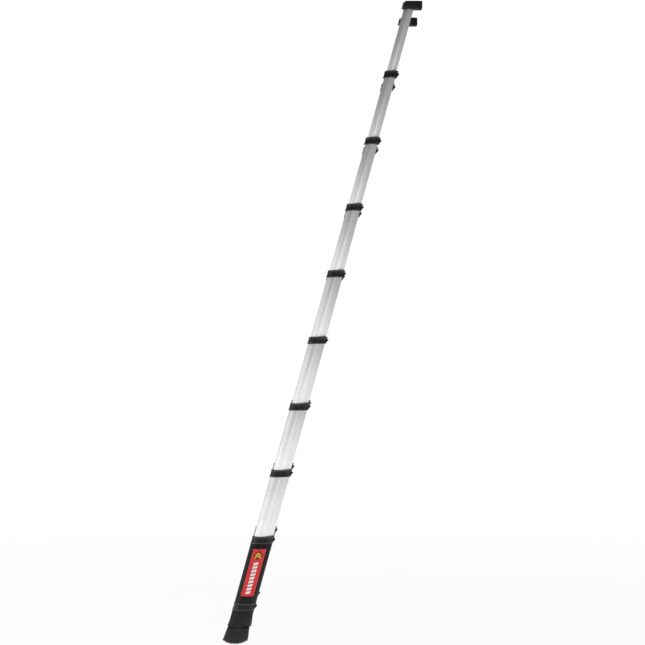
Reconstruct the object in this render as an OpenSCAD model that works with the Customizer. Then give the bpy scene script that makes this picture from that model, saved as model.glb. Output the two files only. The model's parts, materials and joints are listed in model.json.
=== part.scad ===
// Telescoping ladder, drawn fully extended and leaning at its working angle.
// +Z is up, +X points at the wall, and the feet rest on z = 0.
// A climber who faces the wall has the right stile at -Y and the left stile at +Y.
// Every section carries one collar pair and one rung; each collar guides the next, slimmer section.

/* [Stance] */
// Lean of the ladder from the vertical, degrees
lean = 15.4; // [13:0.1:17]
// Distance between the middles of the two stiles
stile_span = 394; // [370:1:460]
// How far in front of the feet's middle the stile's axis meets the floor
foot_offset = 6; // [4:1:8]

/* [Sections] */
// Number of sliding sections above the base section
sections = 8; // [3:1:8]
// Rung spacing along the stile, extended
rung_pitch = 300; // [290:1:310]
// Rung spacing along the stile, closed up
closed_pitch = 34; // [34:1:38]
// Height of the lowest rung's middle above the floor
bottom_rung_z = 158; // [155:1:170]
// Length of a section that stays inside the one below
section_overlap = 50; // [45:1:55]

/* [Stile profile] */
// Half of the flat inner side of the profile, before rounding
profile_half_depth = 11.5; // [10:0.5:13]
// Distance from the profile's middle to its flat inner side, before rounding
profile_in = 5; // [4:0.5:6]
// Distance from the profile's middle to its outer corner, before rounding
profile_out = 9; // [8:0.5:10]
// Corner radius of the slimmest tube
top_radius = 9; // [8.5:0.1:10]
// How much the corner radius grows from each tube to the next one down
nesting_step = 2.85; // [2.75:0.01:3]
// Wall of a tube
tube_wall = 1.6; // [1.4:0.1:1.7]

/* [Collars] */
// Height of a collar
collar_h = 30.6; // [30:0.1:31]
// How far the lowest collar stands proud of its tube
collar_proud_low = 3.6; // [3.2:0.1:4]
// How far the highest collar stands proud of its tube
collar_proud_high = 6; // [4.5:0.1:6.2]
// Height of the lips above and below a collar's recessed band
collar_lip = 6; // [4:0.5:8]
// Depth of the recessed band around a collar
collar_recess = 0.9; // [0.5:0.1:1.2]
// Reach of the rear lug beyond the collar
lug_reach = 6.5; // [5:0.1:7]
// Length of tube held in its own collar
socket_depth = 14; // [12:0.5:14]
// Depth of the boss that holds a rung's end
boss_depth = 12; // [10:0.5:12]

/* [Rungs] */
// Depth of the tread, front to rear
tread_depth = 40; // [38:0.5:40]
// Depth of the rung's underside
rung_bottom_depth = 26; // [25:0.5:28]
// Height of a rung
rung_h = 26; // [26:0.1:26.4]
// Wall of a rung
rung_wall = 2; // [1.8:0.1:2]
// Spacing of the grooves in the tread
groove_pitch = 4; // [3:0.5:6]

/* [Locks] */
// Diameter of a lock pin
pin_d = 9; // [8:0.1:9.2]
// Height of the lock pins above the middle of their rung
pin_rise = 4.3; // [4:0.1:4.4]
// Travel of a lock
lock_travel = 8; // [7:0.5:8]
// Width of the thumb button on a lock
button_w = 24; // [20:1:26]

/* [Base] */
// Thickness of the sleeve around the base tubes
sleeve_wall = 2.6; // [2:0.1:3]
// Height of the seam between a foot and the sleeve above it
foot_seam_z = 65.8; // [60:0.1:70]
// Length of a foot's sole
sole_length = 112; // [106:1:114]
// Radius of a sole's rocker
sole_radius = 128; // [120:1:140]
// Number of teeth on a sole
sole_teeth = 12; // [8:1:14]
// Depth of the teeth on a sole
tooth_depth = 4.4; // [3:0.1:5]
// Height of the label's lower edge above the floor
label_low = 206; // [195:1:220]
// Height of the label's upper edge above the floor
label_high = 410; // [390:1:420]
// Width of the label
label_w = 54; // [40:1:60]

/* [Top caps] */
// Length of a cap, front to rear, with its bumper
cap_length = 86; // [82:1:90]
// Height of a cap
cap_h = 35; // [33:0.5:36]
// Length of the rubber bumper on a cap
bumper_length = 14; // [12:0.5:18]
// How far the top rung sits above the regular rung spacing
cap_rise = 11; // [6:1:12]

/* [Hidden] */
SIDES = [-1, 1];
SIDE_NAMES = ["right", "left"];
round_fn = 96;
arc_step = 9;         // degrees of turn per facet of a rounded outline
slide_gap = 0.4;      // clearance around a sliding tube
bore_gap = 0.2;       // radial clearance around a lock pin in its collar
pin_stand_off = 0.5;  // gap between a released pin and the tube it locks
bore_overrun = 5;     // spare length of a cut for a bore
pin_chamfer = 1.2;
plug_depth = 12;      // depth of an end plug in its tube
plug_flange = 8;      // height of the flange below the tube
boss_wall = 2.5;
lug_w = 16;
label_t = 0.4;
foot_groove_drop = 10.3;  // seam down to the shallow groove around a foot
foot_groove_h = 1;
foot_flare = 12;      // extra half depth of a foot over the stile's profile
foot_proud = 1.2;     // how far a foot stands proud of the socket above it
rib_pitch = 7.8;      // spacing of the ribs on a cap's front
rib_t = 3.4;
rib_w = 22;
rib_reach = 7;        // how far the ribs reach forwards from the cap's body
rise = rung_pitch * cos(lean);
stile_y = stile_span / 2;
top_cap_z = bottom_rung_z + (sections + 1) * rise + cap_rise;
cap_front_x = 18 - cap_length / 2;
cap_rear_x = cap_front_x - rib_reach + cap_length;
cap_split_x = cap_rear_x - bumper_length;
skeleton = [[-profile_half_depth, profile_in], [0, -profile_out], [profile_half_depth, profile_in]];
sleeve_r = tube_r(0) + sleeve_wall;
socket_r = sleeve_r - 0.2;
reach = 4000;         // larger than the ladder
slab_margin = 40;     // spare length that a level cut takes off a leaning extrusion

// Parts of a lock, measured inwards from the rung's end, and up or down from the rung's middle.
bar_start = 10;
bar_length = 36;
bar_w = 17;
bar_h = 14.6;
bar_drop = 6;
finger_start = 30;    // the finger joins the bar to the thumb button through the rung's slot
finger_w = 8;
finger_h = 6;
finger_play = 2;
button_start = 22;
button_t = 4;
button_h = 12;
button_drop = 3;
button_gap = 0.6;
spring_end = 63;
spring_length = 17;
tray_w = 18;
tray_t = 4.4;
tray_drop = 10.8;
tray_end = 64;
tray_end_t = 3;

assert(collar_h / cos(lean) < closed_pitch, "closed up, the collars would run into each other");

// Levels are heights of rung middles; level -1 is the lowest rung, fixed to the base.
function level_z(j) = bottom_rung_z + (j + 1) * rise;
function axis_x(z) = z * tan(lean) - foot_offset;
function tube_r(k) = top_radius + nesting_step * (sections - k);
function tube_end_z(k) = k == sections ? top_cap_z + 6 : level_z(k) - collar_h / 2 + socket_depth;
function tube_start_z(k) = k == 0 ? 38 : level_z(k - 1) - collar_h / 2 - section_overlap;
function collar_proud(j) =
    collar_proud_low + (collar_proud_high - collar_proud_low) * j / (sections - 1);
function collar_r(j) = j < 0 ? sleeve_r + 1.2 : tube_r(j) + collar_proud(j);
function pin_z(j) = level_z(j) + pin_rise;
// Distance inwards from a stile's middle at which the rung of level j starts.
function rung_start(j) = profile_in + collar_r(j);

// Direction of the edge that leaves corner i of an outline, degrees.
function edge_angle(points, i) =
    let (a = points[i % len(points)], b = points[(i + 1) % len(points)]) atan2(b.y - a.y, b.x - a.x);

// Points of an arc of radius r about corner i, from the normal of one edge to that of the next.
function corner_arc(points, i, r) =
    let (n = len(points), first = edge_angle(points, i + n - 1) - 90,
        turn = (edge_angle(points, i) - 90 - first + 720) % 360, steps = ceil(turn / arc_step))
    [for (t = [0 : steps]) let (a = first + turn * t / steps) points[i] + r * [cos(a), sin(a)]];

// Convex outline grown by r with round corners; points run anticlockwise.
module rounded(points, r) {
    polygon([for (i = [0 : len(points) - 1]) each corner_arc(points, i, r)]);
}

// A stile's section: x is front to rear and y is inwards, towards the other stile.
module stile_profile(r) rounded(skeleton, r);

// Leaning extrusion of a stile section on one side, cut level at z0 and z1.
module stile_length(side, z0, z1) {
    start = z0 / cos(lean) - slab_margin;
    intersection() {
        translate([-foot_offset, side * stile_y, 0])
            rotate([0, lean, 0])
                mirror([0, side > 0 ? 1 : 0, 0])
                    translate([0, 0, start])
                        linear_extrude((z1 - z0) / cos(lean) + 2 * slab_margin) children();
        translate([-reach, -reach, z0]) cube([2 * reach, 2 * reach, z1 - z0]);
    }
}

// Places children on one side with y measured inwards from that stile's middle.
module inward(side) {
    translate([0, side * stile_y, 0]) mirror([0, side > 0 ? 1 : 0, 0]) children();
}

// Extrudes an outline drawn in X and Z along the inward direction, from y0 to y1.
module across(y0, y1) {
    translate([0, y1, 0]) rotate([90, 0, 0]) linear_extrude(y1 - y0) children();
}

// ---- Tubes ----
module stile_tube(side, k) {
    difference() {
        stile_length(side, tube_start_z(k), tube_end_z(k)) difference() {
            stile_profile(tube_r(k));
            stile_profile(tube_r(k) - tube_wall);
        }
        if (k > 0) inward(side) lock_bore(k - 1, pin_d / 2 + 2 * bore_gap, 0, tube_r(k) + bore_overrun);
    }
}

// Round hole for the lock pin of level j, from y0 to y1 past the profile's inner side.
module lock_bore(j, r, y0, y1) {
    translate([axis_x(pin_z(j)), profile_in + y1, pin_z(j)])
        rotate([90, 0, 0]) cylinder(h = y1 - y0, r = r, $fn = round_fn);
}

module tubes(k) {
    color(k == 0 ? "dimgray" : "silver") for (side = SIDES) stile_tube(side, k);
}

// ---- Collars and brackets ----
// Rear lug, drawn in X and Z about the middle of the collar's level.
module lug_outline(j) {
    rear = profile_half_depth + collar_r(j);
    low = -collar_h / 2;
    function rear_x(z) = (rear / cos(lean)) + z * tan(lean);
    polygon([
        [0, low + 1], [rear_x(low) - 2, low + 1], [rear_x(-1) + lug_reach - 1.5, -1.5],
        [rear_x(0) + lug_reach, 0.5], [rear_x(3) + lug_reach - 1, 4.5], [rear_x(6) - 1, 6.5], [0, 6.5]]);
}

module collar_body(side, j) {
    z = level_z(j);
    difference() {
        stile_length(side, z - collar_h / 2, z + collar_h / 2) stile_profile(collar_r(j));
        stile_length(side, z - collar_h / 2 + collar_lip, z + collar_h / 2 - collar_lip) difference() {
            stile_profile(collar_r(j) + collar_h);
            stile_profile(collar_r(j) - collar_recess);
        }
    }
    inward(side) translate([axis_x(z), 0, z]) {
        across(profile_in - lug_w / 2, profile_in + lug_w / 2) lug_outline(j);
        across(profile_in + 2, rung_start(j) + boss_depth) boss_outline();
    }
}

// Outline of the boss around a rung's end.
module boss_outline() {
    corner = 4;
    half = tread_depth / 2 + boss_wall - corner;
    foot = rung_bottom_depth / 2 + boss_wall - corner;
    low = collar_h / 2 - corner;
    rounded([[-foot, -low], [foot, -low], [half, -corner], [half, low], [-half, low], [-half, -corner]],
        corner);
}

// Space that a rung's end takes in its boss.
module rung_pocket(side, j) {
    inward(side) translate([axis_x(level_z(j)), 0, level_z(j)])
        across(rung_start(j), rung_start(j) + boss_depth + 1) rung_outline(0);
}

// Tray under a lock, with the wall that its spring pushes against.
module lock_tray(side, j) {
    start = rung_start(j);
    inward(side) translate([axis_x(pin_z(j)) - tray_w / 2, start, level_z(j) - tray_drop]) {
        translate([0, -1, 0]) cube([tray_w, tray_end + tray_end_t + 1, tray_t]);
        translate([0, tray_end, 0]) cube([tray_w, tray_end_t, tray_drop + bar_h - bar_drop - 0.6]);
    }
}

module collar(side, j) {
    z = level_z(j);
    difference() {
        collar_body(side, j);
        stile_length(side, z - collar_h, tube_end_z(j)) stile_profile(tube_r(j));
        stile_length(side, z - collar_h, z + collar_h) stile_profile(tube_r(j + 1) + slide_gap);
        rung_pocket(side, j);
        inward(side) lock_bore(j, pin_d / 2 + bore_gap, tube_r(j + 1) - 2, collar_r(j) + bore_overrun);
    }
    lock_tray(side, j);
}

module collars(j) {
    color("#26282a") for (side = SIDES) collar(side, j);
}

module bottom_brackets() {
    z = level_z(-1);
    color("#2b2d2f") for (side = SIDES) difference() {
        collar_body(side, -1);
        stile_length(side, z - collar_h, z + collar_h) stile_profile(tube_r(0));
        rung_pocket(side, -1);
    }
}

// ---- Rungs ----
// Outline of a rung in X and Z, or of its hollow when inset is the wall.
module rung_outline(inset) {
    corner = 3;
    half = tread_depth / 2 - corner;
    foot = rung_bottom_depth / 2 - corner;
    top = rung_h / 2 - corner;
    rounded([[-foot, -top], [foot, -top], [half, -1], [half, top], [-half, top], [-half, -1]],
        corner - inset);
}

// Slot through the front wall of a rung for the finger of a lock.
module thumb_slot(side, j) {
    front = axis_x(level_z(j)) - tread_depth / 2;
    start = rung_start(j) + finger_start - lock_travel - finger_play;
    inward(side) translate([front - rung_wall, start, level_z(j) - finger_h / 4])
        cube([3 * rung_wall, finger_w + lock_travel + 2 * finger_play, finger_h * 1.5]);
}

module rung(j, start, z, x) {
    half_length = stile_y - start;
    grooves = floor((tread_depth / 2 - 5) / groove_pitch);
    color("silver") difference() {
        translate([x, 0, z]) across(-half_length, half_length) difference() {
            rung_outline(0);
            difference() {
                rung_outline(rung_wall);
                translate([-tread_depth, rung_h / 2 - rung_wall - 1]) square([2 * tread_depth, 5]);
            }
            for (i = [-grooves : grooves])
                translate([i * groove_pitch - 0.9, rung_h / 2 - 0.9]) square([1.8, 2]);
        }
        if (j >= 0) for (side = SIDES) thumb_slot(side, j);
    }
}

module rungs(j) rung(j, rung_start(j), level_z(j), axis_x(level_z(j)));

// ---- Plugs at the lower ends of the sliding tubes ----
module end_plugs(k) {
    z = tube_start_z(k);
    color("#3a3a3c") for (side = SIDES) {
        stile_length(side, z, z + plug_depth) stile_profile(tube_r(k) - tube_wall);
        stile_length(side, z - plug_flange, z)
            stile_profile(tube_r(k) - tube_wall + nesting_step - slide_gap);
    }
}

// ---- Locks: pin, bar, thumb button and spring ----
module latch(j, side) {
    start = rung_start(j);
    x = axis_x(pin_z(j));
    front = axis_x(level_z(j)) - tread_depth / 2;
    color("#b9bcc0") inward(side) {
        lock_pin(j, start + bar_start + 4);
        translate([x - bar_w / 2, start + bar_start, level_z(j) - bar_drop])
            cube([bar_w, bar_length, bar_h]);
        translate([front - button_gap - 1, start + finger_start, level_z(j)])
            cube([x - front, finger_w, finger_h]);
        translate([front - button_gap - button_t, start + button_start, level_z(j) - button_drop])
            cube([button_t, button_w, button_h]);
        translate([x, start + spring_end, level_z(j) + 1]) rotate([90, 0, 0]) spring();
    }
}

// Chamfered pin of level j, from its root in the bar out to its released stand-off.
module lock_pin(j, root) {
    length = root - profile_in - tube_r(j + 1) - pin_stand_off - pin_chamfer;
    r = pin_d / 2;
    translate([axis_x(pin_z(j)), root, pin_z(j)]) rotate([90, 0, 0]) {
        cylinder(h = length, r = r, $fn = round_fn);
        translate([0, 0, length])
            cylinder(h = pin_chamfer, r1 = r, r2 = r - pin_chamfer, $fn = round_fn);
    }
}

// Coil spring drawn as rings of its wire on a thin common tube.
module spring() {
    wire = 1.4;
    coil_r = 3.6;
    turns = 7;
    rotate_extrude($fn = round_fn) {
        translate([coil_r - 0.3, 0]) square([0.6, spring_length]);
        for (i = [0 : turns - 1])
            translate([coil_r - wire / 2, (i + 0.5) * spring_length / turns - wire / 2]) square(wire);
    }
}

// ---- Base ----
module base_sleeves() {
    color("#1f2123") for (side = SIDES)
        stile_length(side, level_z(-1) + collar_h / 2, level_z(0) - collar_h / 2) difference() {
            stile_profile(sleeve_r);
            stile_profile(tube_r(0));
        }
}

module base_labels() {
    color("#d9383a") for (side = SIDES)
        stile_length(side, label_low, label_high) intersection() {
            difference() {
                stile_profile(sleeve_r + label_t);
                stile_profile(sleeve_r);
            }
            translate([-label_w / 2, -reach]) square([label_w, reach]);
        }
}

module foot_sockets() {
    color("#2f3133") for (side = SIDES)
        stile_length(side, foot_seam_z, level_z(-1) - collar_h / 2) difference() {
            stile_profile(socket_r);
            stile_profile(tube_r(0));
        }
}

// Toothed rocker of a sole as points of a side view, from the front tip to the rear tip.
function sole_points() =
    let (sweep = 2 * asin(sole_length / 2 / sole_radius), tooth = sweep / sole_teeth,
        polar = function(r, a) [r * sin(a), sole_radius - 0.7 - r * cos(a)])
    [for (i = [0 : sole_teeth - 1]) let (a = i * tooth - sweep / 2) each [
        polar(sole_radius, a), polar(sole_radius, a + 0.55 * tooth),
        polar(sole_radius - tooth_depth, a + 0.8 * tooth)]];

module foot(side) {
    top_half = (profile_half_depth + socket_r) / cos(lean);
    top_x = axis_x(foot_seam_z);
    sole = sole_points();
    rear_tip = sole[len(sole) - 1];
    difference() {
        intersection() {
            inward(side) across(-reach, reach) polygon(concat(
                [[top_x - top_half, foot_seam_z]], sole,
                [[rear_tip.x + 1.5, rear_tip.y + 3], [top_x + top_half, foot_seam_z]]));
            stile_length(side, 0, foot_seam_z) foot_profile(socket_r + foot_proud);
        }
        stile_length(side, tube_start_z(0), foot_seam_z + 1) stile_profile(tube_r(0));
        foot_seam(side);
    }
}

// Shallow level groove around the foot, a little below the seam.
module foot_seam(side) {
    z = foot_seam_z - foot_groove_drop;
    difference() {
        stile_length(side, z, z + foot_groove_h) foot_profile(sleeve_r + foot_flare);
        stile_length(side, z - 1, z + foot_groove_h + 1) stile_profile(sleeve_r + foot_groove_h);
    }
}

module foot_profile(r) {
    half = profile_half_depth + foot_flare;
    rounded([[-half, profile_in], [-foot_flare, -profile_out], [foot_flare, -profile_out],
        [half, profile_in]], r);
}

module foot_soles() {
    color("#2a2b2c") for (side = SIDES) foot(side);
}

// ---- Top ----
// Side view of a cap about its level, with its front edge parallel to the stile.
module cap_outline(corner) {
    slope = (cap_h / 2 - corner) * tan(lean);
    rounded([[cap_front_x + corner - slope, corner - cap_h / 2],
        [cap_rear_x - corner, corner - cap_h / 2],
        [cap_rear_x - corner, cap_h / 2 - corner],
        [cap_front_x + corner + slope, cap_h / 2 - corner]], corner);
}

// Part of a cap from x0 to x1 behind the stile's axis.
module cap_part(side, x0, x1) {
    outer = profile_out + tube_r(sections) + 4;
    inner = profile_in + tube_r(sections) + 4;
    inward(side) translate([axis_x(top_cap_z), 0, top_cap_z]) intersection() {
        across(-outer, inner) cap_outline(5);
        translate([x0, -reach, -reach]) cube([x1 - x0, 2 * reach, 2 * reach]);
    }
}

// Rib on a cap's front, z above the cap's middle.
module cap_rib(z) {
    translate([cap_front_x + z * tan(lean) - rib_reach, -rib_w / 2, z - rib_t / 2])
        cube([rib_reach + 3, rib_w, rib_t]);
}

module top_caps() {
    color("#262626") for (side = SIDES) difference() {
        union() {
            cap_part(side, -reach, cap_split_x);
            inward(side) translate([axis_x(top_cap_z), 0, top_cap_z]) {
                across(profile_in, rung_start(sections) + boss_depth) boss_outline();
                for (i = [-1.5 : 1.5]) cap_rib(i * rib_pitch);
            }
        }
        stile_length(side, top_cap_z - cap_h, tube_end_z(sections)) stile_profile(tube_r(sections));
        inward(side) translate([axis_x(top_cap_z), 0, top_cap_z])
            across(rung_start(sections), rung_start(sections) + boss_depth + 1) rung_outline(0);
    }
}

module wall_bumpers() {
    color("#1c1c1c") for (side = SIDES) cap_part(side, cap_split_x, reach);
}

module rung_top() rung(-1, rung_start(sections), top_cap_z, axis_x(top_cap_z));

base_sleeves();
base_labels();
bottom_brackets();
foot_sockets();
foot_soles();
rungs(-1);  // rung_bottom
for (k = [0 : sections]) tubes(k);
for (j = [0 : sections - 1]) collars(j);
for (j = [0 : sections - 1]) rungs(j);
for (k = [1 : sections]) end_plugs(k);
for (j = [0 : sections - 1]) for (s = [0, 1])
    latch(j, SIDES[s]);
top_caps();
rung_top();
wall_bumpers();
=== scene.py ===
"""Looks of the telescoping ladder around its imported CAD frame. Lengths are in metres."""

import json
import math

import bmesh
import bpy
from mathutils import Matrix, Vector
from mathutils.bvhtree import BVHTree


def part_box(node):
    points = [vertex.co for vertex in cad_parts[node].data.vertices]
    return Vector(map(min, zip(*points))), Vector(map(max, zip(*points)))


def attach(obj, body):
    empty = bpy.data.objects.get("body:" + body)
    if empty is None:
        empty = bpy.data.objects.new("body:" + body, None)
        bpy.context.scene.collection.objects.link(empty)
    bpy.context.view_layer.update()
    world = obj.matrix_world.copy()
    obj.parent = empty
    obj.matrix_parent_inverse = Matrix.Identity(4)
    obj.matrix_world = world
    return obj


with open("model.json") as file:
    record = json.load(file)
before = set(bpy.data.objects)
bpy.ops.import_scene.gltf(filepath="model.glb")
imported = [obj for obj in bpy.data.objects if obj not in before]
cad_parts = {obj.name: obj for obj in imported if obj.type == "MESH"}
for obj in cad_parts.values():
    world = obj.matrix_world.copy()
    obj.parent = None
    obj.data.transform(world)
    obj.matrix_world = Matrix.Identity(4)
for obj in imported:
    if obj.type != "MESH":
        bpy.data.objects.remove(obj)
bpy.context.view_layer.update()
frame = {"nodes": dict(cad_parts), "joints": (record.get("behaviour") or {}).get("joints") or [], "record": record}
nodes = frame["nodes"]
joint_axes = {joint["name"]: Vector(joint["axis"]) for joint in frame["joints"]}
node_bodies = {
    node: body
    for body, members in frame["record"]["behaviour"]["bodies"].items()
    for node in members
}

MM = 0.001
SIDES = {"right": -1, "left": 1}
SLIDE_AXIS = joint_axes["section_1_slide"]
LEAN = math.atan2(SLIDE_AXIS.x, SLIDE_AXIS.z)
LEVELS = sorted(int(name.split("_")[1]) for name in nodes if name.startswith("collars_"))


def middle(node):
    low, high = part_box(node)
    return (low + high) / 2


# ---- Geometry helpers ----
PIECE_SMOOTH_ANGLE = math.radians(30)
NODE_SMOOTH_ANGLE = math.radians(32)
FLAT_ANGLE = math.radians(0.5)
BEVEL_ANGLE = math.radians(35)
BEVEL_SEGMENTS = 2
WELD_DISTANCE = 0.01 * MM


def new_piece(name, bm, material, body):
    """A mesh object from a bmesh, with its material, riding on a body."""
    bmesh.ops.recalc_face_normals(bm, faces=bm.faces)
    mesh = bpy.data.meshes.new(name)
    bm.to_mesh(mesh)
    bm.free()
    mesh.materials.append(material)
    mesh.shade_smooth()
    mesh.set_sharp_from_angle(angle=PIECE_SMOOTH_ANGLE)
    piece = bpy.data.objects.new(name, mesh)
    bpy.context.scene.collection.objects.link(piece)
    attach(piece, body)


def add_skin(bm, loops):
    """Adds a closed skin through loops of points that all have the same count."""
    made = [[bm.verts.new(point) for point in loop] for loop in loops]
    for lower, upper in zip(made, made[1:]):
        count = len(lower)
        for i in range(count):
            after = (i + 1) % count
            bm.faces.new((lower[i], lower[after], upper[after], upper[i]))
    bm.faces.new(made[0])
    bm.faces.new(made[-1])


def smooth_group():
    """Geometry nodes that shade shallow facets smooth and leave steeper edges sharp."""
    group = bpy.data.node_groups.new("smooth_shallow_facets", "GeometryNodeTree")
    for in_out in ("INPUT", "OUTPUT"):
        group.interface.new_socket("Geometry", in_out=in_out, socket_type="NodeSocketGeometry")
    tree = group.nodes
    start = tree.new("NodeGroupInput")
    end = tree.new("NodeGroupOutput")
    normals = tree.new("GeometryNodeSetMeshNormal")
    normals.mode = "SHARPNESS"
    normals.inputs["Remove Custom"].default_value = True
    normals.inputs["Face Sharpness"].default_value = False
    angle = tree.new("GeometryNodeInputMeshEdgeAngle")
    steep = tree.new("FunctionNodeCompare")
    steep.operation = "GREATER_THAN"
    steep.inputs["B"].default_value = NODE_SMOOTH_ANGLE
    faces = tree.new("GeometryNodeSetShadeSmooth")
    faces.domain = "FACE"
    link = group.links.new
    link(start.outputs[0], faces.inputs["Geometry"])
    link(faces.outputs["Geometry"], normals.inputs["Mesh"])
    link(angle.outputs["Unsigned Angle"], steep.inputs["A"])
    link(steep.outputs["Result"], normals.inputs["Edge Sharpness"])
    link(normals.outputs["Mesh"], end.inputs[0])
    return group


SMOOTH_GROUP = smooth_group()


def soften(node, width):
    """Rounds a CAD node's edges by width, and shades its curved faces smooth."""
    modifiers = nodes[node].modifiers
    modifiers.new("weld", "WELD").merge_threshold = WELD_DISTANCE
    merge = modifiers.new("merge_flat", "DECIMATE")
    merge.decimate_type = "DISSOLVE"
    merge.angle_limit = FLAT_ANGLE
    if width:
        bevel = modifiers.new("edges", "BEVEL")
        bevel.width = width
        bevel.segments = BEVEL_SEGMENTS
        bevel.limit_method = "ANGLE"
        bevel.angle_limit = BEVEL_ANGLE
    modifiers.new("smooth", "NODES").node_group = SMOOTH_GROUP


# ---- Materials ----


class Shader:
    """A node material under construction around one Principled shader."""

    def __init__(self, name, roughness=0.5, metallic=0.0, specular=0.5):
        self.material = bpy.data.materials.new(name)
        self.material.use_nodes = True
        self.tree = self.material.node_tree
        self.bsdf = self.tree.nodes["Principled BSDF"]
        self.bsdf.inputs["Roughness"].default_value = roughness
        self.bsdf.inputs["Metallic"].default_value = metallic
        self.bsdf.inputs["Specular IOR Level"].default_value = specular

    def node(self, kind, **settings):
        made = self.tree.nodes.new(kind)
        for key, value in settings.items():
            setattr(made, key, value)
        return made

    def link(self, output, target):
        self.tree.links.new(output, target)

    def place(self, scale=(1, 1, 1), turn_y=0.0):
        """Object coordinates in metres, turned about Y and then scaled."""
        source = self.node("ShaderNodeTexCoord")
        turned = self.node("ShaderNodeVectorRotate", rotation_type="Y_AXIS")
        turned.inputs["Angle"].default_value = turn_y
        scaled = self.node("ShaderNodeVectorMath", operation="MULTIPLY")
        scaled.inputs[1].default_value = scale
        self.link(source.outputs["Object"], turned.inputs["Vector"])
        self.link(turned.outputs["Vector"], scaled.inputs[0])
        return scaled.outputs["Vector"]

    def height(self):
        parts = self.node("ShaderNodeSeparateXYZ")
        self.link(self.place(), parts.inputs[0])
        return parts.outputs["Z"]

    def noise(self, place, scale=1.0, detail=2.0, rough=0.5):
        texture = self.node("ShaderNodeTexNoise")
        texture.inputs["Scale"].default_value = scale
        texture.inputs["Detail"].default_value = detail
        texture.inputs["Roughness"].default_value = rough
        self.link(place, texture.inputs["Vector"])
        return texture.outputs["Fac"]

    def spread(self, value, low, high, to_low=0, to_high=1):
        """Maps value from low..high to to_low..to_high, clamped."""
        ramp = self.node("ShaderNodeMapRange")
        limits = {"From Min": low, "From Max": high, "To Min": to_low, "To Max": to_high}
        for key, number in limits.items():
            ramp.inputs[key].default_value = number
        self.link(value, ramp.inputs["Value"])
        return ramp.outputs["Result"]

    def maths(self, operation, first, second):
        """A Math node; each operand is a number or a socket."""
        made = self.node("ShaderNodeMath", operation=operation)
        for socket, value in zip(made.inputs, (first, second)):
            if isinstance(value, (int, float)):
                socket.default_value = value
            else:
                self.link(value, socket)
        return made.outputs["Value"]

    def blend(self, share, first, second):
        """A colour between two, by share; each is a colour or a socket."""
        mix = self.node("ShaderNodeMix", data_type="RGBA")
        self.link(share, mix.inputs["Factor"])
        for key, value in (("A", first), ("B", second)):
            socket = [s for s in mix.inputs if s.name == key and s.type == "RGBA"][0]
            if isinstance(value, (tuple, list)):
                socket.default_value = (*value, 1)
            else:
                self.link(value, socket)
        return [s for s in mix.outputs if s.type == "RGBA"][0]

    def colour(self, value):
        self.link(value, self.bsdf.inputs["Base Color"])

    def roughness(self, value):
        self.link(value, self.bsdf.inputs["Roughness"])

    def bump(self, height, distance, strength, over=None):
        """Bump from a height socket, on top of another bump's normal if one is given."""
        made = self.node("ShaderNodeBump")
        made.inputs["Distance"].default_value = distance
        made.inputs["Strength"].default_value = strength
        self.link(height, made.inputs["Height"])
        if over is not None:
            self.link(over, made.inputs["Normal"])
        self.link(made.outputs["Normal"], self.bsdf.inputs["Normal"])
        return made.outputs["Normal"]


def shade(colour, share):
    return [channel * share for channel in colour]


STILE_DIE_LINES = (700, 700, 2.2)
RUNG_DIE_LINES = (700, 3, 700)
HAIR_FINENESS = 2.6
METAL_GRAIN = 1900
SCRATCH_COLOUR = (0.93, 0.93, 0.94)


def aluminium(name, lines_scale, turn, bright, dull):
    """Bare extruded aluminium: die lines and hairline scratches along it, and faint smudges."""
    shader = Shader(name, metallic=0.92)
    lines = shader.noise(shader.place(lines_scale, turn), detail=3, rough=0.6)
    hairs = shader.noise(shader.place(shade(lines_scale, HAIR_FINENESS), turn), detail=1)
    cloud = shader.noise(shader.place((6, 6, 6)), detail=4, rough=0.6)
    grain = shader.noise(shader.place(), scale=METAL_GRAIN, detail=1)
    scratch = shader.spread(hairs, 0.66, 0.74)
    tone = shader.blend(shader.spread(lines, 0.3, 0.7), dull, bright)
    smudge = shader.spread(cloud, 0.52, 0.75, 0, 0.35)
    tone = shader.blend(smudge, tone, shade(dull, 0.86))
    shader.colour(shader.blend(shader.maths("MULTIPLY", scratch, 0.3), tone, SCRATCH_COLOUR))
    line_gloss = shader.spread(lines, 0.25, 0.75, 0.44, 0.52)
    rough = shader.maths("ADD", line_gloss, shader.spread(cloud, 0.4, 0.8, 0, 0.08))
    shader.roughness(shader.maths("ADD", rough, shader.maths("MULTIPLY", scratch, -0.06)))
    fine = shader.bump(grain, 0.02 * MM, 0.25)
    shader.bump(lines, 0.06 * MM, 0.35, fine)
    return shader.material


PLASTIC_GRAIN = 1500
SLEEVE_GRAIN = 1100
RUBBER_GRAIN = 900
DUST_COLOUR = (0.036, 0.034, 0.031)
RUNG_LEVEL = middle("rung_bottom").z
RUNG_RISE = (middle(f"rung_{LEVELS[-1]}").z - RUNG_LEVEL) / len(LEVELS)
# A painted highlight on a collar's rims starts this far above and below its rung's level, and fades in.
RIM_HIGHLIGHT_START = 8.5 * MM
RIM_HIGHLIGHT_FADE = 1.5 * MM


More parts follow.
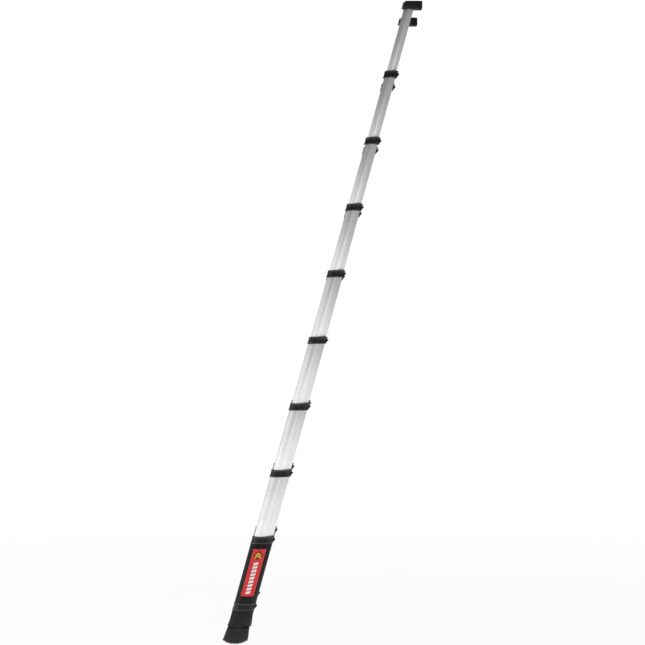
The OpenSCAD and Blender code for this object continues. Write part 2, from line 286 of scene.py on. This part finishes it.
def moulded(name, dark, light, roughness, grain_scale=PLASTIC_GRAIN, grain=0.04 * MM,
            dust=None, specular=0.2, rim_highlight=None):
    """Black moulded plastic or rubber with spark-eroded grain and uneven gloss.

    dust is the height up to which dust lies on it, and the rim argument is the tone of a painted highlight along a
    collar's rims.
    """
    shader = Shader(name, specular=specular)
    grains = shader.noise(shader.place(), scale=grain_scale, detail=2, rough=0.6)
    flow = shader.noise(shader.place((9, 9, 5)), detail=3, rough=0.55)
    rub = shader.noise(shader.place((60, 60, 60)), detail=5, rough=0.7)
    rubbed = shader.spread(rub, 0.60, 0.78, 0, 0.4)
    tone = shader.blend(shader.spread(flow, 0.3, 0.7), dark, light)
    tone = shader.blend(rubbed, tone, shade(light, 1.7))
    if dust:
        low = shader.spread(shader.height(), 0.0, dust, 1, 0)
        patchy = shader.maths("MULTIPLY", low, shader.spread(rub, 0.35, 0.65, 0.25, 0.8))
        tone = shader.blend(patchy, tone, DUST_COLOUR)
    # Painted highlight: the collar's upper and lower rims are made lighter, in patches.
    if rim_highlight:
        from_bottom = shader.maths("SUBTRACT", shader.height(), RUNG_LEVEL)
        off_level = shader.maths("PINGPONG", from_bottom, RUNG_RISE / 2)
        rim_highlight_mask = shader.spread(off_level, RIM_HIGHLIGHT_START, RIM_HIGHLIGHT_START + RIM_HIGHLIGHT_FADE)
        patchy = shader.maths("MULTIPLY", rim_highlight_mask, shader.spread(rub, 0.35, 0.65, 0.6, 1))
        tone = shader.blend(patchy, tone, (rim_highlight,) * 3)
    shader.colour(tone)
    gloss = shader.spread(flow, 0.3, 0.7, roughness - 0.04, roughness + 0.05)
    shader.roughness(shader.maths("ADD", gloss, shader.maths("MULTIPLY", rubbed, 0.15)))
    shader.bump(grains, grain, 0.5)
    return shader.material


FILM_ROUGHNESS = 0.32


def printed(name, colour):
    """Printed vinyl film with a faint print mottle."""
    shader = Shader(name, specular=0.3)
    mottle = shader.noise(shader.place(), scale=700, detail=3, rough=0.6)
    cloud = shader.noise(shader.place((14, 14, 10)), detail=2)
    tone = shader.blend(shader.spread(mottle, 0.35, 0.65), shade(colour, 0.94), colour)
    shader.colour(shader.blend(shader.spread(cloud, 0.3, 0.75, 0, 0.25), tone, shade(colour, 0.8)))
    shader.roughness(shader.spread(cloud, 0.3, 0.7, FILM_ROUGHNESS - 0.05, FILM_ROUGHNESS + 0.08))
    shader.bump(mottle, 0.01 * MM, 0.3)
    return shader.material


MATERIALS = {
    "tube_aluminium": aluminium(
        "tube_aluminium_bare", STILE_DIE_LINES, -LEAN, (0.86, 0.86, 0.865), (0.79, 0.79, 0.80)),
    "rung_aluminium": aluminium(
        "rung_aluminium_bare", RUNG_DIE_LINES, 0.0, (0.82, 0.82, 0.825), (0.74, 0.74, 0.75)),
    # The collars get a painted highlight along their rims.
    "collar_plastic": moulded(
        "collar_nylon", (0.006, 0.006, 0.0065), (0.0105, 0.0105, 0.011), 0.34, rim_highlight=0.05),
    "sleeve_plastic": moulded(
        "sleeve_black", (0.0085, 0.0085, 0.009), (0.0125, 0.0125, 0.013), 0.42, SLEEVE_GRAIN,
        specular=0.1),
    "socket_plastic": moulded(
        "socket_black", (0.021, 0.021, 0.0215), (0.028, 0.028, 0.0285), 0.52, specular=0.05),
    "foot_rubber": moulded(
        "foot_rubber_black", (0.018,) * 3, (0.026,) * 3, 0.62, RUBBER_GRAIN, 0.07 * MM,
        dust=12 * MM),
    "lock_plastic": moulded("lock_black", (0.012, 0.012, 0.0125), (0.018, 0.018, 0.019), 0.40),
    "plug_plastic": moulded("plug_black", (0.02,) * 3, (0.03,) * 3, 0.5),
    "cap_plastic": moulded("cap_black", (0.0085,) * 3, (0.0125, 0.0125, 0.013), 0.42),
    "bumper_rubber": moulded(
        "bumper_black", (0.008,) * 3, (0.012,) * 3, 0.65, RUBBER_GRAIN, 0.07 * MM),
    "label_film": printed("label_red", (0.68, 0.025, 0.0276)),
}
PRINT_WHITE = printed("print_white", (0.86, 0.86, 0.85))
PRINT_GOLD = printed("print_gold", (0.85, 0.50, 0.035))
PRINT_DARK = printed("print_dark", (0.016, 0.012, 0.012))

EDGE_WIDTHS = {
    "tube_aluminium": 0.25 * MM, "rung_aluminium": 0.35 * MM, "collar_plastic": 0.9 * MM,
    "sleeve_plastic": 0.25 * MM, "socket_plastic": 0.4 * MM, "foot_rubber": 0.5 * MM,
    "lock_plastic": 0.5 * MM, "plug_plastic": 0.3 * MM, "cap_plastic": 1.6 * MM,
    "bumper_rubber": 1.6 * MM, "label_film": 0.0,
}
for part in frame["record"]["subparts"]:
    node, slot_name = part["node"], part["material_slot"]
    nodes[node].data.materials[0] = MATERIALS[slot_name]
    soften(node, EDGE_WIDTHS[slot_name])

# The base tubes are hidden by their sleeves, so what shows of them is black like the sleeves.
nodes["tubes_0"].data.materials[0] = MATERIALS["sleeve_plastic"]

# ---- Print on the labels: a generic gold chevron mark over a row of plain slanted bars ----
LABEL_LOW, LABEL_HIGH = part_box("base_labels")
LABEL_WIDTH = LABEL_HIGH.x - LABEL_LOW.x - (LABEL_HIGH.z - LABEL_LOW.z) * math.tan(LEAN)
LABEL_FOOT_X = LABEL_LOW.x + LABEL_WIDTH / 2
OUTSIDE_Y = 0.4
FILM = 0.15 * MM
BAND_COLUMNS = 9


def label_tree():
    obj = nodes["base_labels"]
    points = [obj.matrix_world @ vertex.co for vertex in obj.data.vertices]
    return BVHTree.FromPolygons(points, [tuple(face.vertices) for face in obj.data.polygons])


LABEL_TREE = label_tree()


def on_label(side, across, up, lift):
    """A point lift above the label; across and up are from the middle of its lower edge."""
    x = LABEL_FOOT_X + across + up * math.tan(LEAN)
    start = Vector((x, side * OUTSIDE_Y, LABEL_LOW.z + up))
    hit = LABEL_TREE.ray_cast(start, Vector((0, -side, 0)))[0]
    return hit + Vector((0, side * lift, 0))


def band(bm, side, left, right, lift=0):
    """A conforming strip between two upright edges, each (across, low, high) in millimetres."""
    loops = []
    for i in range(BAND_COLUMNS):
        share = i / (BAND_COLUMNS - 1)
        across, low, high = (MM * (a + (b - a) * share) for a, b in zip(left, right))
        loops.append([
            on_label(side, across, low, lift + FILM), on_label(side, across, high, lift + FILM),
            on_label(side, across, high, lift), on_label(side, across, low, lift),
        ])
    add_skin(bm, loops)


# All in millimetres, with heights up the label from its lower edge.
BARS = 9
FIRST_BAR = 9
BAR_PITCH = 15.6
BAR_HEIGHT = 10.4
BAR_SLANT = 4.0
BAR_HALF = 10.0
MARK_MIDDLE = 178.0
MARK_HALF = 20.0
MARK_TIP = 1.0
CHEVRON_HALF = 13
# Each chevron's lower and upper edge at its peak, from MARK_MIDDLE, and their drops to its ends.
CHEVRONS = ((-6, 1), (4, 11))
CHEVRON_DROPS = (9, 10)


def label_print(name, side):
    bars = bmesh.new()
    for i in range(BARS):
        low = FIRST_BAR + i * BAR_PITCH
        band(bars, side, (-BAR_HALF, low, low + BAR_HEIGHT),
             (BAR_HALF, low + BAR_SLANT, low + BAR_SLANT + BAR_HEIGHT))
    new_piece(f"label_bars_{name}", bars, PRINT_WHITE, "base")
    base = bmesh.new()
    chevrons = bmesh.new()
    for end in (-1, 1):
        band(base, side, (0, MARK_MIDDLE - MARK_HALF, MARK_MIDDLE + MARK_HALF),
             (end * MARK_HALF, MARK_MIDDLE - MARK_TIP, MARK_MIDDLE + MARK_TIP))
    for edges in CHEVRONS:
        peak = [MARK_MIDDLE + edge for edge in edges]
        foot = [height - drop for height, drop in zip(peak, CHEVRON_DROPS)]
        for end in (-1, 1):
            band(chevrons, side, (0, *peak), (end * CHEVRON_HALF, *foot), FILM)
    new_piece(f"label_mark_base_{name}", base, PRINT_DARK, "base")
    new_piece(f"label_chevrons_{name}", chevrons, PRINT_GOLD, "base")


for name, side in SIDES.items():
    label_print(name, side)

# ---- Blind rivets that hold each rung in its bosses ----
# Radius, and how far it stands out from the boss, in millimetres.
RIVET_PROFILE = [
    (3.6, -0.4), (3.6, 0.25), (3.3, 0.75), (2.5, 1.15), (1.7, 1.3), (1.35, 1.2), (1.25, 0.4),
]
RIVET_SIDES = 28
RIVET_FROM_END = 6 * MM
RIVET_ABOVE_MIDDLE = 4 * MM
BOSS_REAR = 22.5 * MM


def rivets(name, rung):
    centre = middle(rung)
    rung_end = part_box(rung)[1].y
    turns = [2 * math.pi * i / RIVET_SIDES for i in range(RIVET_SIDES)]
    bm = bmesh.new()
    for side in SIDES.values():
        seat = Vector((centre.x + BOSS_REAR, side * (rung_end - RIVET_FROM_END),
                       centre.z + RIVET_ABOVE_MIDDLE))
        add_skin(bm, [
            [seat + MM * Vector((out, radius * math.cos(turn), radius * math.sin(turn)))
             for turn in turns]
            for radius, out in RIVET_PROFILE
        ])
    new_piece(name, bm, MATERIALS["rung_aluminium"], node_bodies[rung])


for rung in ["rung_bottom", "rung_top"] + [f"rung_{j}" for j in LEVELS]:
    rivets(rung.replace("rung", "rivets"), rung)

# ---- Grip ribs on the thumb buttons of the locks ----
RIBS = 5
RIB_PITCH = 4.0 * MM
RIB_ROOT = 0.3 * MM
RIB_SHOULDER = 0.6
BUTTON_MIDDLE = 29.0 * MM
BUTTON_BELOW_TOP = 6 * MM
# Height from a rib's middle, half width, and how far it stands out.
RIB_PROFILE = [(z * MM, half * MM, proud * MM) for z, half, proud in (
    (-4.4, 0.55, 0.1), (-3.74, 0.75, 0.7), (3.74, 0.75, 0.7), (4.4, 0.55, 0.1))]


def button_ribs(level, name, side):
    latch = f"latch_{level}_{name}"
    low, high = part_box(latch)
    inner_end = low.y if side > 0 else high.y
    bm = bmesh.new()
    for i in range(RIBS):
        y = inner_end + side * (BUTTON_MIDDLE + (i - (RIBS - 1) / 2) * RIB_PITCH)
        loops = []
        for up, half, proud in RIB_PROFILE:
            z = high.z - BUTTON_BELOW_TOP + up
            section = ((RIB_ROOT, -half), (-proud * RIB_SHOULDER, -half), (-proud, 0),
                       (-proud * RIB_SHOULDER, half), (RIB_ROOT, half))
            loops.append([Vector((low.x + out, y + across, z)) for out, across in section])
        add_skin(bm, loops)
    new_piece(f"button_ribs_{level}_{name}", bm, MATERIALS["lock_plastic"], node_bodies[latch])


for level in LEVELS:
    for name, side in SIDES.items():
        button_ribs(level, name, side)

# ---- Floor ----
FLOOR_PLACE = (0.3, 0, -0.5 * MM)
FLOOR_HALF = 60
FLOOR_COLOURS = ((0.12,) * 3, (0.14,) * 3)
# The floor's glow as the camera sees it, near and far.
SHOWN_NEAR = 4
SHOWN_FAR = 9
SHOWN_GLOW = (0.92, 1)
# The pool of glow that lights the object, near and far from its centre.
POOL_CENTRE = (0, -2.5, 0)
POOL_NEAR = 6
POOL_FAR = 12
POOL_GLOW = (1.1, 0.1)


def floor_material():
    shader = Shader("floor_white", roughness=0.9, specular=0.1)
    speck = shader.noise(shader.place(), scale=3, detail=2)
    shader.colour(shader.blend(shader.spread(speck, 0.3, 0.7), *FLOOR_COLOURS))
    distance = shader.node("ShaderNodeVectorMath", operation="DISTANCE")
    shader.link(shader.place(), distance.inputs[0])
    distance.inputs[1].default_value = POOL_CENTRE
    pool = shader.spread(distance.outputs["Value"], POOL_NEAR, POOL_FAR, *POOL_GLOW)
    seen = shader.spread(distance.outputs["Value"], SHOWN_NEAR, SHOWN_FAR, *SHOWN_GLOW)
    by_camera = shader.node("ShaderNodeLightPath").outputs["Is Camera Ray"]
    shown = shader.maths("MULTIPLY", by_camera, seen)
    unseen = shader.maths("MULTIPLY", shader.maths("SUBTRACT", 1, by_camera), pool)
    shader.bsdf.inputs["Emission Color"].default_value = (1, 1, 1, 1)
    shader.link(shader.maths("ADD", shown, unseen), shader.bsdf.inputs["Emission Strength"])
    return shader.material


def floor():
    bm = bmesh.new()
    bmesh.ops.create_grid(bm, x_segments=8, y_segments=8, size=FLOOR_HALF)
    mesh = bpy.data.meshes.new("floor")
    bm.to_mesh(mesh)
    bm.free()
    mesh.materials.append(floor_material())
    plane = bpy.data.objects.new("floor", mesh)
    plane.location = FLOOR_PLACE
    bpy.context.scene.collection.objects.link(plane)


# ---- World, lights and camera ----
# Sine of the elevation, and the sky's brightness there.
SKY = ((0.0, 0.55), (0.14, 0.34), (0.35, 0.10), (0.55, 0.10), (0.80, 0.30))
# A darker patch behind the object, from and to this Y of the direction.
BEHIND_EDGE = 0.70
BEHIND_CORE = 0.92
BEHIND_LIGHT = 0.1
# Each soft panel's place, the point it faces, its width and height, and its watts.
PANELS = {
    "left_panel": ((-2.7, 0.55, 1.6), (0.3, 0, 1.2), 2.4, 3.2, 24),
    "front_panel": ((0.3, -5.2, 1.25), (0.3, 0, 0.9), 4.0, 2.4, 37),
    "corner_panel": ((-3.2, -2.9, 1.2), (0.3, 0, 1.0), 2.6, 2.6, 21),
    "left_strip": ((-3.1, 0.65, 0.6), (0.2, 0, 0.5), 0.5, 1.0, 1.5),
    "right_strip": ((3.2, -1.7, 0.5), (0.25, 0, 0.5), 0.7, 0.9, 2),
}
CAMERA_PLACE = (0.378, -7.84, 1.325)
CAMERA_TURN = (math.radians(90), 0, 0)
CAMERA_LENS = 97.95
CAMERA_SENSOR = 36
CAMERA_SHIFT = 0.024


def sky():
    """White to the camera, and a graded sky with a dark patch to every other ray."""
    world = bpy.data.worlds.new("studio")
    world.use_nodes = True
    tree = world.node_tree
    tree.nodes.clear()
    place = tree.nodes.new("ShaderNodeTexCoord")
    parts = tree.nodes.new("ShaderNodeSeparateXYZ")
    ramp = tree.nodes.new("ShaderNodeValToRGB")
    stops = ramp.color_ramp.elements
    stops[1].position = SKY[-1][0]
    for position, _ in SKY[1:-1]:
        stops.new(position)
    for stop, (_, level) in zip(stops, SKY):
        stop.color = (level, level, level, 1)
    behind = tree.nodes.new("ShaderNodeMapRange")
    limits = {"From Min": BEHIND_EDGE, "From Max": BEHIND_CORE, "To Min": 1, "To Max": BEHIND_LIGHT}
    for key, number in limits.items():
        behind.inputs[key].default_value = number
    lit = tree.nodes.new("ShaderNodeBackground")
    seen = tree.nodes.new("ShaderNodeBackground")
    seen.inputs["Color"].default_value = (1, 1, 1, 1)
    path = tree.nodes.new("ShaderNodeLightPath")
    mix = tree.nodes.new("ShaderNodeMixShader")
    out = tree.nodes.new("ShaderNodeOutputWorld")
    link = tree.links.new
    link(place.outputs["Generated"], parts.inputs[0])
    link(parts.outputs["Z"], ramp.inputs["Fac"])
    link(ramp.outputs["Color"], lit.inputs["Color"])
    link(parts.outputs["Y"], behind.inputs["Value"])
    link(behind.outputs["Result"], lit.inputs["Strength"])
    link(path.outputs["Is Camera Ray"], mix.inputs["Fac"])
    link(lit.outputs["Background"], mix.inputs[1])
    link(seen.outputs["Background"], mix.inputs[2])
    link(mix.outputs["Shader"], out.inputs["Surface"])
    bpy.context.scene.world = world


def soft_light(name, place, aim, width, height, watts):
    data = bpy.data.lights.new(name, "AREA")
    data.shape = "RECTANGLE"
    data.size, data.size_y = width, height
    data.energy = watts
    light = bpy.data.objects.new(name, data)
    light.location = place
    light.rotation_euler = (Vector(aim) - Vector(place)).to_track_quat("-Z", "Y").to_euler()
    bpy.context.scene.collection.objects.link(light)


def camera():
    data = bpy.data.cameras.new("camera")
    data.lens = CAMERA_LENS
    data.sensor_width = CAMERA_SENSOR
    data.shift_y = CAMERA_SHIFT
    eye = bpy.data.objects.new("camera", data)
    eye.location = CAMERA_PLACE
    eye.rotation_euler = CAMERA_TURN
    bpy.context.scene.collection.objects.link(eye)
    bpy.context.scene.camera = eye


bpy.context.scene.view_settings.view_transform = "Standard"
floor()
sky()
for name, panel in PANELS.items():
    soft_light(name, *panel)
camera()
